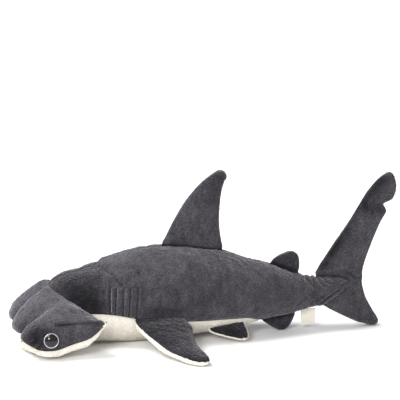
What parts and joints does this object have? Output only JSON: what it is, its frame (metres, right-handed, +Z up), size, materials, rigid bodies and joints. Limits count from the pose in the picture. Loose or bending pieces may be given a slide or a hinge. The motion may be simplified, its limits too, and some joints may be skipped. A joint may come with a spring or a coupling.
{
  "type": "plush hammerhead shark",
  "caption": "Soft stuffed hammerhead shark toy lying on its belly, dark above and pale below, with fins that flop and a head and tail that sway.",
  "frame": {"origin": "middle of the object's box in plan, on the surface that the toy lies on", "axes": "+X from nose to tail, -Y to the shark's left side, +Z up"},
  "size_m": [0.3892, 0.2106, 0.166],
  "materials": {
    "plush_dark": "short-pile velvet plush, charcoal, brushed nap",
    "plush_white": "short-pile velvet plush, ivory",
    "stuffing": "loose polyester fibre filling",
    "eye_black": "polished black safety eye",
    "eye_ring": "silver-grey ring",
    "washer": "moulded locking washer",
    "label": "cream satin ribbon, blank",
    "thread": "polyester sewing thread"
  },
  "bodies": {
    "torso": {"back_panel_left": "plush_dark", "back_panel_right": "plush_dark", "belly_panel": "plush_white", "gill_stitch_left_1": "thread", "gill_stitch_left_2": "thread", "gill_stitch_left_3": "thread", "gill_stitch_left_4": "thread", "gill_stitch_left_5": "thread", "gill_stitch_right_1": "thread", "gill_stitch_right_2": "thread", "gill_stitch_right_3": "thread", "gill_stitch_right_4": "thread", "gill_stitch_right_5": "thread", "torso_stuffing": "stuffing"},
    "head": {"eye_left": "eye_black", "eye_right": "eye_black", "eye_ring_left": "eye_ring", "eye_ring_right": "eye_ring", "eye_washer_left": "washer", "eye_washer_right": "washer", "head_bottom_panel": "plush_white", "head_stuffing": "stuffing", "head_top_panel": "plush_dark"},
    "dorsal_fin": {"dorsal_fin_left_panel": "plush_dark", "dorsal_fin_right_panel": "plush_dark", "dorsal_fin_stuffing": "stuffing"},
    "second_dorsal_fin": {"second_dorsal_fin_left_panel": "plush_dark", "second_dorsal_fin_right_panel": "plush_dark", "second_dorsal_fin_stuffing": "stuffing"},
    "pectoral_fin_left": {"pectoral_fin_left_bottom_panel": "plush_white", "pectoral_fin_left_stuffing": "stuffing", "pectoral_fin_left_top_panel": "plush_dark"},
    "pectoral_fin_right": {"pectoral_fin_right_bottom_panel": "plush_white", "pectoral_fin_right_stuffing": "stuffing", "pectoral_fin_right_top_panel": "plush_dark"},
    "pelvic_fin_left": {"pelvic_fin_left_bottom_panel": "plush_white", "pelvic_fin_left_stuffing": "stuffing", "pelvic_fin_left_top_panel": "plush_dark"},
    "pelvic_fin_right": {"pelvic_fin_right_bottom_panel": "plush_white", "pelvic_fin_right_stuffing": "stuffing", "pelvic_fin_right_top_panel": "plush_dark"},
    "anal_fin": {"anal_fin_left_panel": "plush_dark", "anal_fin_right_panel": "plush_dark", "anal_fin_stuffing": "stuffing"},
    "tail_fin": {"tail_fin_left_panel": "plush_dark", "tail_fin_right_panel": "plush_dark", "tail_fin_stuffing": "stuffing"},
    "care_label": {"care_label": "label"}
  },
  "joints": [
    {"name": "head_turn", "type": "hinge", "parent": "torso", "child": "head", "pos_m": [-0.128, 0, 0.037], "axis": [0, 0, 1], "range_deg": [-12, 12], "stiffness_Nm_per_rad": 0.12},
    {"name": "dorsal_fin_flop", "type": "hinge", "parent": "torso", "child": "dorsal_fin", "pos_m": [-0.01325, 0, 0.0919], "axis": [0.9924, 0, -0.1234], "range_deg": [-45, 45], "stiffness_Nm_per_rad": 0.03},
    {"name": "second_dorsal_fin_flop", "type": "hinge", "parent": "torso", "child": "second_dorsal_fin", "pos_m": [0.0805, 0, 0.0661], "axis": [0.935, 0, -0.3547], "range_deg": [-50, 50], "stiffness_Nm_per_rad": 0.006},
    {"name": "pectoral_left_flap", "type": "hinge", "parent": "torso", "child": "pectoral_fin_left", "pos_m": [-0.05075, -0.0413, 0.02765], "axis": [0.997, 0.0201, -0.0745], "range_deg": [-40, 5], "stiffness_Nm_per_rad": 0.03},
    {"name": "pectoral_right_flap", "type": "hinge", "parent": "torso", "child": "pectoral_fin_right", "pos_m": [-0.05075, 0.0413, 0.02765], "axis": [0.997, -0.0201, -0.0745], "range_deg": [-5, 40], "stiffness_Nm_per_rad": 0.03},
    {"name": "pelvic_left_flap", "type": "hinge", "parent": "torso", "child": "pelvic_fin_left", "pos_m": [0.0175, -0.0263, 0.01255], "axis": [0.9862, 0.1183, 0.1155], "range_deg": [-35, 15], "stiffness_Nm_per_rad": 0.004},
    {"name": "pelvic_right_flap", "type": "hinge", "parent": "torso", "child": "pelvic_fin_right", "pos_m": [0.0175, 0.0263, 0.01255], "axis": [0.9862, -0.1183, 0.1155], "range_deg": [-15, 35], "stiffness_Nm_per_rad": 0.004},
    {"name": "anal_fin_flop", "type": "hinge", "parent": "torso", "child": "anal_fin", "pos_m": [0.075, 0, 0.01415], "axis": [0.9872, 0, 0.1597], "range_deg": [-50, 50], "stiffness_Nm_per_rad": 0.004},
    {"name": "tail_sway", "type": "hinge", "parent": "torso", "child": "tail_fin", "pos_m": [0.118, 0, 0.039], "axis": [0, 0, 1], "range_deg": [-30, 30], "stiffness_Nm_per_rad": 0.03},
    {"name": "care_label_flip", "type": "hinge", "parent": "torso", "child": "care_label", "pos_m": [0.1055, 0, 0.0196], "axis": [1, 0, 0], "range_deg": [-60, 60]}
  ]
}
